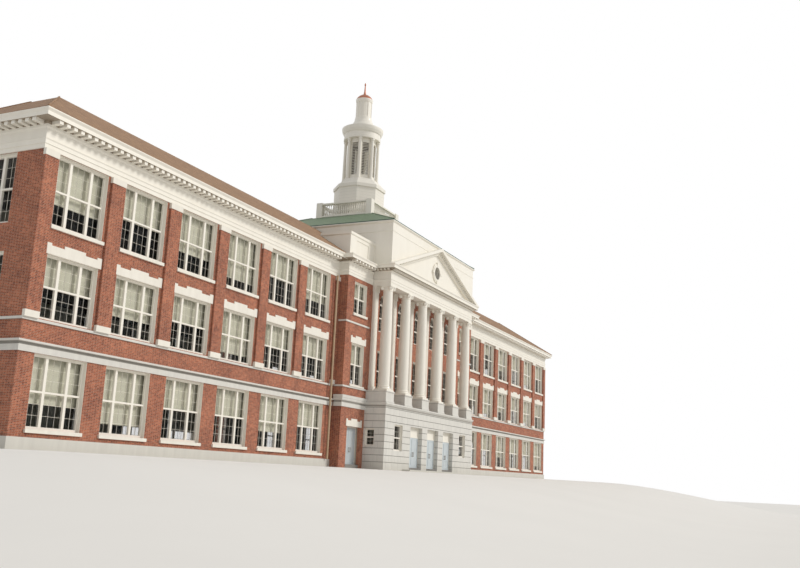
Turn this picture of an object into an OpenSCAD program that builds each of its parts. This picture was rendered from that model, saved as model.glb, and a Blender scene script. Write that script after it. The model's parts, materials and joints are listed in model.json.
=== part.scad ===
/* [Model scale] */
// Sides of a round shape; every size below is a size of the half-size model
$fn = 48; // [24:4:64]

/* [Wings] */
// Bays of triple windows in each wing
bays = 6; // [2:1:7]
// Distance from one bay to the next
bay = 2150; // [1900:10:2300]
// Brick between the centre block and the first window
corner_w = 575; // [400:5:700]
// Brick beyond the last window of a wing
end_margin = 450; // [350:10:600]
// Depth of the building from front wall to rear wall
depth = 5320; // [4800:20:6000]
// Thickness of the brick walls
wall = 200; // [160:5:240]

/* [Storeys] */
// Top of the ground floor
floor1 = 150; // [100:10:200]
// Height of the ground storey
storey1_h = 2150; // [2000:10:2400]
// Height of the second storey
storey2_h = 2130; // [2000:10:2400]
// Height of the third storey
storey3_h = 2270; // [2100:10:2500]
// Thickness of a floor
slab = 150; // [100:10:180]

/* [Wing windows] */
// Width of a triple window
triple_w = 1540; // [1300:10:1600]
// Height of the ground storey sills above the floor
sill1_h = 310; // [200:10:400]
// Height of the ground storey windows
win1_h = 1590; // [1300:10:1650]
// Height of the second storey sills above the floor
sill2_h = 500; // [420:10:600]
// Height of the second storey windows
win2_h = 1435; // [1200:5:1450]
// Height of the third storey sills above the floor
sill3_h = 450; // [400:10:600]
// Height of the third storey windows
win3_h = 1610; // [1300:10:1650]
// Set back of the window frames from the face of the wall
reveal = 80; // [50:5:100]
// Thickness of the white lining boards of that set back
lining_t = 9; // [6:0.5:9]
// Thickness of a window frame, front to back
frame_t = 60; // [30:5:80]
// Width of the outer members of a window frame
frame_w = 55; // [30:5:70]
// Width of the heavy mullions of a triple window
mullion_w = 75; // [50:5:90]
// Width of the rail where two sashes meet
rail_w = 40; // [30:2:60]
// Thickness of the sheets of glass
glass_t = 12; // [8:1:20]

/* [Stonework] */
// Height of the plinth
plinth_h = 285; // [200:5:400]
// Projection of the plinth
plinth_out = 40; // [20:5:60]
// Height of the belt course over the ground storey
belt_h = 245; // [150:5:260]
// Height of the same belt course on the centre block
flank_belt_h = 390; // [300:5:400]
// Projection of the belt course
belt_out = 80; // [50:5:90]
// Height of the sill band of the second storey
band_h = 60; // [40:5:60]
// Projection of the sill band
band_out = 30; // [20:2:40]
// Height of a sill
sill_h = 80; // [50:5:90]
// Projection of a sill
sill_out = 55; // [40:5:70]
// Length of a sill beyond its window
sill_lap = 40; // [20:5:60]
// Height of a carved lintel between its raised blocks
lintel_h = 198; // [150:2:210]
// Projection of a lintel
lintel_out = 18; // [10:1:30]
// Brick between a pilaster and the window beside it
pil_gap = 90; // [60:5:120]
// Projection of the pilasters
pil_out = 60; // [40:5:90]
// Height of the white blocks at the head and foot of a pilaster
pil_block_h = 145; // [100:5:180]

/* [Wing entablature and roof] */
// Height of the entablature of the wings
ent_h = 790; // [700:5:850]
// Projection of the cornice
eave_out = 365; // [280:5:370]
// Height of the roof from eaves to deck
roof_h = 1625; // [1400:5:1700]
// Distance of the roof deck's edge behind the front wall
deck_in = 2180; // [1900:10:2400]
// Thickness of the roof
roof_t = 120; // [80:10:160]
// Distance between the blocks under the cornice
block_pitch = 210; // [180:5:260]
// Width of those blocks
block_w = 105; // [70:5:130]

/* [Centre block] */
// Width of the brick flanks beside the portico's base
flank_w = 1715; // [1600:5:1800]
// Projection of the flanks in front of the wings
flank_out = 370; // [300:10:450]
// Distance of the middle of the flank doors and windows from the base
flank_in = 745; // [700:5:800]
// Width of the flank doorway
side_door_w = 950; // [800:10:1000]
// Height of a flank door leaf
side_leaf_h = 1225; // [1150:5:1300]
// Width of the flank windows
flank_win_w = 950; // [700:10:960]
// Height of the lower flank window
flank_win2_h = 1460; // [1300:10:1480]
// Foot of the upper flank window above the floor
flank_sill3_h = 905; // [800:5:950]
// Height of the upper flank window
flank_win3_h = 1120; // [900:10:1140]
// Height of the parapet over a flank
parapet_h = 870; // [700:5:900]
// Width of the panel of a parapet
panel_w = 900; // [700:10:1100]
// Height of that panel
panel_h = 480; // [200:10:500]
// Thickness of the parapet walls
parapet_t = 150; // [120:5:180]
// Distance of the downpipes from the centre block
pipe_at = 300; // [260:5:320]
// Radius of a downpipe
pipe_r = 35; // [20:1:35]

/* [Portico] */
// Distance between the columns
col_pitch = 1570; // [1450:10:1600]
// Distance of the column axes behind the face of the base
col_in = 300; // [270:5:340]
// Radius of a column shaft at its foot
col_r = 205; // [170:5:220]
// Radius of a column shaft under its capital
col_top_r = 172; // [140:2:180]
// Width of the blocks under the columns
ped_w = 700; // [600:10:720]
// Height of the blocks under the columns
ped_h = 410; // [350:5:450]
// Projection of the rusticated base in front of the wings
base_out = 1200; // [1150:10:1250]
// Thickness of the walls of the base
base_wall = 200; // [160:5:240]
// Height of the top of the base above the second floor
base_over = 45; // [30:5:60]
// Height of one course of the base
course = 235; // [200:5:240]
// Width of the windows in the front of the base
base_win_w = 690; // [600:10:700]
// Width of the small window in the side of the base
side_win_w = 380; // [300:10:400]
// Distance of that window from the flank
side_win_in = 50; // [40:5:100]
// Height of the foot of that window
side_win_foot = 820; // [700:5:900]
// Height of that window
side_win_h = 615; // [500:5:700]
// Width of the entrance doorways
door_w = 1075; // [900:5:1080]
// Clear height of the light over an entrance door
transom_h = 290; // [250:5:320]
// Height of the portico's entablature above that of the wings
port_lift = 75; // [50:5:100]
// Height of the portico's entablature
port_ent_h = 770; // [700:5:800]
// Projection of the portico's cornice
cornice_out = 255; // [180:5:260]
// Width of the windows between the columns
port_win_w = 700; // [560:10:760]
// Height of the foot of those windows above the second floor
port_sill2_h = 530; // [450:10:600]
// Height of the foot of the windows over them above the third floor
port_sill3_h = 570; // [500:10:650]
// Height of the lower windows between the columns
port_win2_h = 1460; // [1300:10:1480]
// Height of the upper windows up to the spring of the arch
port_win3_h = 1060; // [900:10:1100]
// Set back of the pediment's field behind its raking cornice
rake_t = 110; // [90:5:130]
// Height of the attic's top above the apex of the pediment
apex_drop = 95; // [60:5:150]

/* [Doors] */
// Thickness of a door leaf
leaf_t = 32; // [25:1:40]
// Gap round a door leaf
leaf_gap = 5; // [5:0.5:8]
// Height of an entrance door leaf
leaf_h = 1095; // [1050:5:1150]
// Width of the jambs of a door frame
jamb_w = 40; // [25:5:50]
// Height of the bar between an entrance door and its light
bar_h = 50; // [40:5:60]
// Set back of a door leaf from the face of its wall
leaf_in = 150; // [100:5:155]
// Radius of a hinge barrel
hinge_r = 7; // [5:0.5:10]
// Height of one half of a hinge
hinge_h = 40; // [25:5:60]

/* [Attic] */
// Height of the attic block
attic_h = 1680; // [1500:10:1800]
// Height of the green roof of the attic
attic_roof_h = 1240; // [1100:10:1300]
// Thickness of the attic walls
attic_t = 150; // [120:5:180]
// Diameter of the round window in the pediment
oculus_d = 570; // [450:10:600]
// Height of the middle of the round window above the portico
oculus_h = 570; // [520:10:620]
// Half width of the balustrade
rail_x = 1300; // [1240:5:1360]
// Height of the balustrade
rail_h = 680; // [550:10:750]
// Width of the posts of the balustrade
post_w = 260; // [200:5:300]
// Balusters in one side
balusters = 20; // [12:1:22]
// Largest radius of a baluster
baluster_r = 34; // [26:1:38]

/* [Cupola] */
// Radius of the eight-sided base over its corners
oct_r = 1130; // [1050:5:1150]
// Height of the eight-sided base
oct_h = 1560; // [1400:10:1700]
// Height of the slope between the base and the drum
shoulder_h = 320; // [250:5:350]
// Radius of the drum's wall
drum_r = 620; // [580:5:640]
// Height of the drum
drum_h = 1830; // [1700:10:1900]
// Width of an opening of the drum
louvre_w = 290; // [220:5:320]
// Radius of the columns round the drum
drum_col_r = 72; // [50:2:80]
// Height of the ring above the drum
ring_h = 555; // [480:5:600]
// Radius of the ring's cornice
ring_r = 900; // [850:5:920]
// Height of the flared foot of the lantern
lantern_foot_h = 560; // [500:5:600]
// Radius of the lantern's shaft
lantern_r = 325; // [260:5:340]
// Height of the lantern with its cornice
lantern_h = 845; // [750:5:900]
// Height of the dome
dome_h = 285; // [240:5:320]
// Height of the finial
finial_h = 570; // [500:5:620]

/* [Hidden] */
brick = "sienna";
stone = "linen";
big = 60000;
seat = 0.3;
cut = 1;

// Heights
floor2 = floor1 + storey1_h;
floor3 = floor2 + storey2_h;
floor4 = floor3 + storey3_h;
sills = [floor1 + sill1_h, floor2 + sill2_h, floor3 + sill3_h];
heads = [sills[0] + win1_h, sills[1] + win2_h, sills[2] + win3_h];
rows = [for (s = [0:2]) [sills[s], heads[s]]];
belt_z = heads[0] + 5;
band_z = sills[1] - band_h - 20;
ent_z = heads[2] + 10;
eave_z = ent_z + ent_h;
deck_z = eave_z + roof_h;
base_z = floor2 + base_over;
base_band = 0.4 * course;
ped_z = base_z + ped_h;
port_ent_z = ent_z + port_lift;
port_top_z = port_ent_z + port_ent_h;
port_sills = [floor2 + port_sill2_h, floor3 + port_sill3_h];
port_rows = [[port_sills[0], port_sills[0] + port_win2_h], [port_sills[1], port_sills[1] + port_win3_h]];
flank_rows = [[port_sills[0], port_sills[0] + flank_win2_h],
    [floor3 + flank_sill3_h, floor3 + flank_sill3_h + flank_win3_h]];
attic_z = port_top_z + attic_h;
attic_roof_z = attic_z + attic_roof_h;
oct_z = attic_roof_z + oct_h;
drum_z = oct_z + shoulder_h;
drum_top = drum_z + drum_h;
ring_top = drum_top + ring_h;
lantern_z = ring_top + lantern_foot_h;
lantern_top = lantern_z + lantern_h;
dome_top = lantern_top + dome_h;
transom_z = floor1 + 2 * leaf_gap + leaf_h;
door_z = transom_z + bar_h + transom_h + jamb_w;
side_door_z = floor1 + 2 * leaf_gap + side_leaf_h + jamb_w;

// Distances from the middle and from the front walls of the wings
base_x = 2.5 * col_pitch + ped_w / 2 + 5;
flank_x = base_x + flank_w;
flank_mid = base_x + flank_in;
first_bay_x = flank_x + corner_w + triple_w / 2;
wing_x = first_bay_x + (bays - 1) * bay + triple_w / 2 + end_margin;
mid_y = depth / 2;
face = -flank_out;
col_y = base_out - col_in;
ent_lip = col_top_r + 20;
ent_x = 2.5 * col_pitch + ent_lip;
ent_out = col_y + ent_lip;
rear_y = depth + ent_out;
attic_x = ent_x + 30;
rake_x = ent_x + cornice_out;
parapet_y = 2.2 * eave_out;
pil_w = bay - triple_w - 2 * pil_gap;
end_pil_w = end_margin - pil_gap;
cols = [for (i = [-2.5:1:2.5]) i * col_pitch];
gaps = [for (i = [-2:2]) i * col_pitch];
doorways = [-col_pitch, 0, col_pitch];
leaf_w = (door_w - 2 * jamb_w - 3 * leaf_gap) / 2;
side_leaf_w = (side_door_w - 2 * jamb_w - 3 * leaf_gap) / 2;
flap_w = 30;
flap_t = 4;

// Windows of the base
base_sill = 3 * course;
side_win = [face - side_win_in - side_win_w, face - side_win_in];
side_win_z = [side_win_foot, side_win_foot + side_win_h];

// Windows as spans along a wall
function spans(centres, w) = [for (c = centres) [c - w / 2, c + w / 2]];
bay_spans = spans([for (i = [bays - 1:-1:0]) -first_bay_x - i * bay], triple_w);
gap_spans = spans(gaps, port_win_w);
flank_spans = spans([-flank_mid], flank_win_w);

// Mouldings as points of [part of the projection, part of the height]
soffit = 0.79;
eave_shape = [[0, 0], [0.07, 0], [0.07, 0.14], [0.11, 0.14], [0.11, 0.25], [0.15, 0.285], [0.07, 0.295],
    [0.07, 0.58], [0.16, 0.62], [0.16, soffit], [0.89, soffit], [0.89, 0.9], [1, 0.97], [1, 1]];
port_shape = [[0, 0], [0, 0.156], [0.06, 0.156], [0.06, 0.26], [0.12, 0.29], [0, 0.3], [0, 0.675],
    [0.12, 0.695], [0.2, 0.72], [0.2, soffit], [0.86, soffit], [0.86, 0.91], [1, 0.97], [1, 1]];
belt_shape = [[0.38, 0], [0.38, 0.55], [0.12, 0.55], [0.12, 0.73], [0.75, 0.78], [1, 0.84], [1, 1]];
flank_belt_shape = [[0.38, 0], [0.38, 0.35], [0.12, 0.35], [0.12, 0.5], [0.6, 0.53], [0.8, 0.6],
    [1, 0.92], [1, 1]];
cap_shape = [[0, 0], [0.35, 0.2], [1, 0.55], [1, 0.85], [0.65, 1]];
coping_shape = [[0, 0], [0, 0.862], [1, 0.897], [1, 1]];
pedestal_shape = [[0.8, 0], [0.8, 0.146], [0, 0.195], [0, 0.854], [1, 0.915], [1, 1]];
flat_shape = [[1, 0], [1, 1]];

function outline(shape, out, z, h) = [for (p = shape) [p[0] * out, z + p[1] * h]];

module box(x0, x1, y0, y1, z0, z1) {
    translate([x0, y0, z0]) cube([x1 - x0, y1 - y0, z1 - z0]);
}

module both() {
    children();
    mirror([1, 0, 0]) children();
}

// A block whose four sides follow outlines of [projection, height]; sides is for +-X, fronts for +-Y
module moulded(x0, x1, y0, y1, sides, fronts) {
    n = len(sides) - 1;
    m = len(fronts) - 1;
    intersection() {
        translate([0, y1 + big / 4, 0]) rotate([90, 0, 0]) linear_extrude(big)
            polygon(concat([for (p = sides) [x0 - p[0], p[1]]],
                           [for (i = [n:-1:0]) [x1 + sides[i][0], sides[i][1]]]));
        translate([x0 - big / 4, 0, 0]) rotate([90, 0, 90]) linear_extrude(big)
            polygon(concat([for (p = fronts) [y0 - p[0], p[1]]],
                           [for (i = [m:-1:0]) [y1 + fronts[i][0], fronts[i][1]]]));
    }
}

// A band round the wings, left out behind the centre block
module wing_band(shape) difference() {
    moulded(-wing_x, wing_x, 0, depth, shape, shape);
    box(-wing_x, wing_x, 0, depth, -cut, big);
    box(-flank_x, flank_x, -big, mid_y, -cut, big);
    box(-attic_x, attic_x, mid_y, big, -cut, big);
}

// A band round the front and the outer side of a flank, up to the band of the wing
module flank_band(shape, wing_out) difference() {
    moulded(-flank_x, 0, face, depth, shape, shape);
    box(-flank_x, cut, face, big, -cut, big);
    box(-base_x, big, -big, big, -cut, big);
    box(-big, -flank_x, -wing_out, big, -cut, big);
}

// A wall along X with rows of windows: whole bands over and under them, and piers between them
module window_wall(x0, x1, y0, y1, z0, z1, rows, spans) {
    n = len(spans);
    m = len(rows);
    for (s = [0:m])
        box(x0, x1, y0, y1, s == 0 ? z0 : rows[s - 1][1], s == m ? z1 : rows[s][0]);
    for (s = [0:m - 1], i = [0:n])
        box(i == 0 ? x0 : spans[i - 1][1], i == n ? x1 : spans[i][0], y0, y1,
            rows[s][0] + seat, rows[s][1] - seat);
}

// Floors
module floor_plan(z) {
    box(-wing_x + wall, wing_x - wall, wall, depth - wall, z - slab, z);
    box(-flank_x + wall, flank_x - wall, face + wall, wall + cut, z - slab, z);
    box(-attic_x + wall, attic_x - wall, depth - wall - cut, rear_y - wall, z - slab, z);
}

module ground_floor() color("gray") {
    floor_plan(floor1);
    box(-base_x + base_wall, base_x - base_wall, -base_out + base_wall, face + wall + cut,
        floor1 - slab, floor1);
    for (x = doorways)
        box(x - door_w / 2, x + door_w / 2, -base_out, -base_out + base_wall + cut, 0, floor1);
    both() box(-flank_mid - side_door_w / 2, -flank_mid + side_door_w / 2, face, face + wall + cut,
        0, floor1);
}

module second_floor() color("gray") floor_plan(floor2);

module third_floor() color("gray") floor_plan(floor3);

module attic_floor() color("gray") floor_plan(floor4);

// Walls
module wing_wall() color(brick) window_wall(-wing_x, -flank_x, 0, wall, 0, eave_z, rows, bay_spans);

module left_wing_wall() wing_wall();

module right_wing_wall() mirror([1, 0, 0]) wing_wall();

module wing_end_walls() color(brick) both() translate([-wing_x, 0, 0]) rotate([0, 0, 90])
    window_wall(wall, depth - wall, -wall, 0, 0, eave_z, rows,
        spans([mid_y - bay / 2, mid_y + bay / 2], triple_w));

module rear_wing_walls() color(brick) both()
    window_wall(-wing_x, -attic_x, depth - wall, depth, 0, eave_z, rows,
        concat(bay_spans, spans([-flank_mid], port_win_w)));

module rear_centre_wall() color(brick) {
    window_wall(-attic_x, attic_x, rear_y - wall, rear_y, 0, port_top_z, rows, gap_spans);
    both() box(-attic_x, -attic_x + wall, depth, rear_y - wall - seat, 0, port_top_z);
}

module flank_walls() color(brick) both() {
    window_wall(-flank_x, -base_x, face, face + wall, side_door_z, eave_z, flank_rows, flank_spans);
    box(-flank_x, -flank_x + wall, face + wall + seat, wall, side_door_z, eave_z);
}

module flank_piers() color(brick) both() {
    box(-flank_x, -flank_mid - side_door_w / 2, face, face + wall, 0, side_door_z);
    box(-flank_mid + side_door_w / 2, -base_x, face, face + wall, 0, side_door_z);
    box(-flank_x, -flank_x + wall, face + wall + seat, wall, 0, side_door_z);
}

module portico_wall() color(brick) {
    difference() {
        window_wall(-base_x, base_x, face, face + wall, base_z, eave_z, port_rows, gap_spans);
        for (x = gaps)
            translate([x, face - cut, port_rows[1][1]]) rotate([-90, 0, 0])
                cylinder(r = port_win_w / 2, h = wall + 2 * cut);
    }
    box(-attic_x, attic_x, face, face + wall, eave_z + seat, port_top_z);
}

// Rusticated base of the portico
groove_h = 18;
groove_in = 14;

module course_grooves(z_top) {
    for (z = [plinth_h:course:z_top])
        difference() {
            box(-big, big, -big, big, z - groove_h / 2, z + groove_h / 2);
            box(-base_x + groove_in, base_x - groove_in, -base_out + groove_in, big, z - course,
                z + course);
        }
}

module base_walls() color(stone) difference() {
    union() {
        both() box(-base_x, -base_x + base_wall, -base_out, face, 0, base_z - base_band);
        difference() {
            box(-base_x, base_x, -base_out, -base_out + base_wall, 0, door_z);
            for (x = doorways)
                box(x - door_w / 2, x + door_w / 2, -base_out - cut, -base_out + base_wall + cut,
                    -cut, big);
        }
    }
    both() {
        box(gaps[0] - base_win_w / 2, gaps[0] + base_win_w / 2, -base_out - cut,
            -base_out + base_wall + cut, base_sill, door_z + cut);
        box(-base_x - cut, -base_x + base_wall + cut, side_win[0], side_win[1], side_win_z[0],
            side_win_z[1]);
    }
    course_grooves(door_z - groove_h);
}

module base_lintel() color(stone) difference() {
    box(-base_x + base_wall, base_x - base_wall, -base_out, -base_out + base_wall, door_z,
        base_z - base_band);
    course_grooves(base_z - base_band - groove_h);
}

module base_moulding() {
    base_shape = outline(cap_shape, plinth_out, base_z - base_band, base_band);
    moulded(-base_x, base_x, -base_out, face + wall, base_shape, base_shape);
}

module base_cornice() color(stone) intersection() {
    base_moulding();
    union() {
        box(-big, big, -big, face, 0, big);
        box(-base_x, base_x, face - cut, face + wall, 0, big);
    }
}

module entrance_step() color(stone)
    box(-1.72 * col_pitch, 1.72 * col_pitch, -base_out - 0.2 * col_pitch, -base_out, 0, floor1 / 2);

module column_blocks() color(stone) for (x = cols) {
    out = 25;
    block_shape = outline(pedestal_shape, out, base_z, ped_h);
    intersection() {
        moulded(x - ped_w / 2 + out, x + ped_w / 2 - out, -base_out + out, face, block_shape,
            block_shape);
        box(-big, big, -big, face, 0, big);
    }
}

// Columns
cap_h = 200;
foot_h = 190;
neck_h = 30;
abacus_h = 40;
scroll_r = 62;

module column() {
    shaft_h = port_ent_z - ped_z;
    top = shaft_h - cap_h;
    plinth_w = 2.6 * col_r;
    abacus_w = 2.5 * col_top_r;
    translate([-plinth_w / 2, -plinth_w / 2, 0]) cube([plinth_w, plinth_w, foot_h / 3]);
    rotate_extrude() polygon([[0, foot_h / 3 - cut], [col_r * 1.27, foot_h / 3 - cut],
        [col_r * 1.3, foot_h * 0.45],
        [col_r * 1.27, foot_h * 0.58], [col_r * 1.14, foot_h * 0.63], [col_r * 1.1, foot_h * 0.74],
        [col_r * 1.16, foot_h * 0.82], [col_r * 1.14, foot_h * 0.92], [col_r, foot_h],
        [col_r * 0.995, shaft_h * 0.33], [col_r * 0.94, shaft_h * 0.66], [col_top_r, top],
        [col_top_r * 1.08, top + neck_h * 0.3], [col_top_r * 1.08, top + neck_h * 0.7], [col_top_r,
            top + neck_h],
        [col_top_r * 1.02, top + cap_h * 0.45], [col_top_r * 1.2, top + cap_h * 0.7],
        [col_top_r * 1.2, top + cap_h - abacus_h + cut], [0, top + cap_h - abacus_h + cut]]);
    translate([-abacus_w / 2, -abacus_w / 2, shaft_h - abacus_h]) cube([abacus_w, abacus_w, abacus_h]);
    for (a = [45:90:315])
        rotate([0, 0, a]) translate([1.3 * col_top_r, 0, shaft_h - abacus_h - scroll_r + cut])
            rotate([90, 0, 0]) cylinder(r = scroll_r, h = 90, center = true);
}

module portico_columns() color(stone) for (x = cols) translate([x, -col_y, ped_z]) column();

module portico_pilasters() color(stone) for (x = cols) {
    w = 0.95 * col_top_r;
    out = 80;
    lip = 25;
    box(x - w, x + w, face - out, face, ped_z + foot_h - cut, port_ent_z - cap_h + cut);
    box(x - w - lip, x + w + lip, face - out - lip, face, ped_z, ped_z + foot_h);
    box(x - w - lip, x + w + lip, face - out - lip, face, port_ent_z - cap_h, port_ent_z);
}

module portico_entablature() color(stone) difference() {
    port_outline = outline(port_shape, cornice_out, port_ent_z, port_ent_h);
    intersection() {
        moulded(-ent_x, ent_x, -ent_out, face, port_outline, port_outline);
        box(-big, big, -big, face, 0, big);
    }
    for (x = gaps)
        box(x - col_pitch / 2 + ent_lip, x + col_pitch / 2 - ent_lip, -col_y + ent_lip, face + cut,
            port_ent_z - cut, port_ent_z + port_ent_h * 0.15);
}

// Pediment
ped_apex = attic_z - apex_drop;
slope = (ped_apex - port_top_z) / rake_x;

module gable(t) {
    up = t * sqrt(1 + slope * slope);
    polygon([[-rake_x, port_top_z], [0, ped_apex], [rake_x, port_top_z],
        [rake_x - up / slope, port_top_z], [0, ped_apex - up], [-rake_x + up / slope, port_top_z]]);
}

module pediment() color(stone) {
    translate([0, -ent_out, 0]) rotate([90, 0, 0]) linear_extrude(cornice_out) gable(rake_t);
    translate([0, -ent_out, 0]) rotate([90, 0,
        0]) linear_extrude(0.35 * cornice_out) gable(2.1 * rake_t);
}

oculus_z = port_top_z + oculus_h;

module oculus_ring() color(stone) translate([0, -ent_out, oculus_z]) rotate([90, 0, 0]) {
    band = 110;
    lap = 30;
    difference() {
        union() {
            cylinder(d = oculus_d + 2 * band, h = 40);
            cylinder(d = oculus_d + band, h = 55);
            for (a = [0:90:270])
                rotate([0, 0, a]) translate([oculus_d / 2 + 10, -45, 0]) cube([band + 40, 90, 70]);
        }
        translate([0, 0, -cut]) cylinder(d = oculus_d - 2 * lap, h = 100);
    }
}

// Attic block
module attic_walls() color(stone) difference() {
    union() {
        box(-attic_x, attic_x, -ent_out, rear_y, port_top_z, attic_z);
        attic_band(60, attic_z - base_band, base_band);
        difference() {
            attic_band(16, attic_z - 4.6 * base_band, base_band / 2);
            roof_outline();
            translate([0, -ent_out, 0]) rotate([90, 0, 0]) linear_extrude(big)
                polygon([[-rake_x, port_top_z], [0, ped_apex], [rake_x, port_top_z]]);
        }
        both() box(-attic_x, -attic_x + attic_t, face + wall, depth - wall, floor4, port_top_z + cut);
    }
    box(-attic_x + attic_t, attic_x - attic_t, -ent_out + attic_t, rear_y - attic_t, port_top_z - cut,
        attic_z + cut);
    translate([0, -ent_out - cut, oculus_z]) rotate([-90, 0, 0]) cylinder(d = oculus_d,
        h = attic_t + 2 * cut);
    both() for (i = [0:5])
        box(-attic_x - cut, -attic_x + vent_in, mid_y + (i - 2.5) * vent_pitch - vent_w / 2,
            mid_y + (i - 2.5) * vent_pitch + vent_w / 2,
            attic_z - 7.4 * base_band, attic_z - 6.2 * base_band);
}

vent_pitch = 900;
vent_w = 140;
vent_in = 14;

module attic_band(out, z, h) {
    band_shape = outline(cap_shape, out, z, h);
    moulded(-attic_x, attic_x, -ent_out, rear_y, band_shape, band_shape);
}

attic_lip = 40;
attic_run_x = attic_x + attic_lip - rail_x - 100;
attic_run_y = ent_out + attic_lip + mid_y - rail_x - 100;
attic_in = attic_t + attic_lip;

module attic_roof() color("darkseagreen") difference() {
    moulded(-attic_x - attic_lip, attic_x + attic_lip, -ent_out - attic_lip, rear_y + attic_lip,
        [[0, attic_z], [0, attic_z + 30], [-attic_run_x, attic_roof_z]],
        [[0, attic_z], [0, attic_z + 30], [-attic_run_y, attic_roof_z]]);
    moulded(-attic_x + attic_t, attic_x - attic_t, -ent_out + attic_t, rear_y - attic_t,
        [[0, attic_z - cut], [0, attic_z + 10], [-attic_run_x + attic_in, attic_roof_z - 100]],
        [[0, attic_z - cut], [0, attic_z + 10], [-attic_run_y + attic_in, attic_roof_z - 100]]);
}

// Balustrade
rail_foot = 0.075 * rail_h;
rail_base = 0.1 * rail_h;
rail_top = 0.09 * rail_h;

module baluster(h) {
    r = baluster_r;
    rotate_extrude($fn = 16) polygon([[0, 0], [0.9 * r, 0], [0.9 * r, h * 0.1], [0.5 * r, h * 0.14],
        [r, h * 0.34], [0.9 * r, h * 0.45], [0.4 * r, h * 0.8], [0.75 * r, h * 0.86], [0.75 * r, h],
        [0, h]]);
}

module roof_balustrade() color(stone) translate([0, mid_y, attic_roof_z]) {
    rail_z = rail_h - rail_top - 30;
    inset = 30;
    for (a = [0:90:270]) rotate([0, 0, a]) {
        translate([rail_x - post_w, rail_x - post_w, 0]) cube([post_w, post_w, rail_h - 30]);
        translate([rail_x - post_w - 15, rail_x - post_w - 15, rail_h - 31]) cube([post_w + 15,
            post_w + 15, 31]);
        translate([-rail_x + cut, rail_x - 170, rail_foot]) cube([2 * rail_x - 2 * cut, 140, rail_base]);
        translate([-rail_x + cut, rail_x - 180, rail_z]) cube([2 * rail_x - 2 * cut, 160, rail_top]);
        translate([-post_w / 2, rail_x - 150, 0]) cube([post_w, 100, rail_foot + cut]);
        for (i = [1:balusters])
            translate([-rail_x + post_w + i * (2 * rail_x - 2 * post_w) / (balusters + 1),
                rail_x - 70 - inset, rail_foot + rail_base - cut])
                baluster(rail_z - rail_foot - rail_base + 2 * cut);
    }
}

// Cupola
module cupola_base() color(stone) translate([0, mid_y, 0]) difference() {
    union() {
        rotate([0, 0, 22.5]) {
            translate([0, 0, attic_roof_z]) cylinder(r = oct_r - 50, h = oct_h, $fn = 8);
            translate([0, 0, attic_roof_z]) cylinder(r = oct_r, h = 0.42 * oct_h, $fn = 8);
            translate([0, 0, oct_z - 0.09 * oct_h]) cylinder(r = oct_r, h = 0.09 * oct_h, $fn = 8);
            translate([0, 0, oct_z]) cylinder(r1 = oct_r - 30, r2 = ring_in, h = shoulder_h, $fn = 8);
        }
    }
    translate([0, 0, attic_roof_z + 100]) cylinder(r = drum_r - 100, h = drum_z - attic_roof_z);
}

ring_in = drum_r + 180;
drum_t = 70;
drum_col_at = drum_r + 90;

module drum_column() {
    cap_r = 1.2 * drum_col_r;
    h = drum_h;
    rotate_extrude($fn = 24) polygon([[0, 0], [cap_r, 0], [cap_r, 0.03 * h], [drum_col_r, 0.045 * h],
        [0.86 * drum_col_r, 0.94 * h], [cap_r, 0.96 * h], [cap_r, h], [0, h]]);
}

module cupola_drum() color(stone) translate([0, mid_y, drum_z + seat]) {
    sill = 0.1 * drum_h;
    difference() {
        cylinder(r = drum_r, h = drum_h);
        translate([0, 0, -cut]) cylinder(r = drum_r - drum_t, h = drum_h + 2 * cut);
        for (a = [0:45:135]) rotate([0, 0, a])
            translate([-ring_r, -louvre_w / 2, sill]) cube([2 * ring_r, louvre_w, 0.8 * drum_h]);
    }
    for (a = [22.5:45:359]) rotate([0, 0, a]) translate([drum_col_at, 0, 0]) drum_column();
}

module cupola_ring() color(stone) translate([0, mid_y, drum_top + 2 * seat]) rotate_extrude() polygon([
    [drum_r - drum_t, 0], [ring_in, 0], [ring_in, 0.2 * ring_h], [ring_in - 10, 0.22 * ring_h],
    [ring_in - 10, 0.47 * ring_h], [ring_r - 70, 0.54 * ring_h], [ring_r - 20, 0.72 * ring_h],
    [ring_r, 0.89 * ring_h], [ring_r, 0.97 * ring_h], [ring_in - 60, ring_h - 2 * seat],
    [drum_r - drum_t, ring_h - 2 * seat]]);

module lantern() color(stone) translate([0, mid_y, ring_top + seat]) {
    foot = lantern_foot_h;
    top = lantern_foot_h + lantern_h - 2 * seat;
    lip = 0.15 * lantern_r;
    rotate_extrude() polygon([[0, 0], [drum_r + 10, 0], [drum_r + 10, 0.1 * foot], [drum_r - 40,
        0.14 * foot],
        [drum_r - 90, 0.3 * foot], [drum_r - 170, 0.5 * foot], [lantern_r + 60, 0.75 * foot],
        [lantern_r + 40, 0.95 * foot], [lantern_r + 40, foot], [lantern_r, foot + 30],
        [lantern_r, top - 0.18 * lantern_h], [lantern_r + 0.5 * lip, top - 0.16 * lantern_h],
        [lantern_r + lip, top - 0.06 * lantern_h], [lantern_r + lip, top], [0, top]]);
    for (a = [22.5:45:359]) rotate([0, 0, a])
        translate([lantern_r - 20, -45, foot]) cube([38, 90, 0.86 * lantern_h]);
}

module cupola_dome() color("peru") translate([0, mid_y, lantern_top]) rotate_extrude() polygon([
    [0, 0], [1.13 * lantern_r, 0], [1.1 * lantern_r, 0.1 * dome_h], [1.02 * lantern_r, 0.28 * dome_h],
    [0.9 * lantern_r, 0.46 * dome_h], [0.74 * lantern_r, 0.62 * dome_h], [0.54 * lantern_r,
        0.78 * dome_h],
    [0.34 * lantern_r, 0.9 * dome_h], [0.2 * lantern_r, dome_h], [50, dome_h + 0.08 * finial_h],
    [36, dome_h + 0.25 * finial_h], [28, dome_h + 0.5 * finial_h], [22, dome_h + 0.72 * finial_h],
    [38, dome_h + 0.8 * finial_h], [30, dome_h + 0.88 * finial_h], [12, dome_h + 0.94 * finial_h],
    [0, dome_h + finial_h]]);

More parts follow.
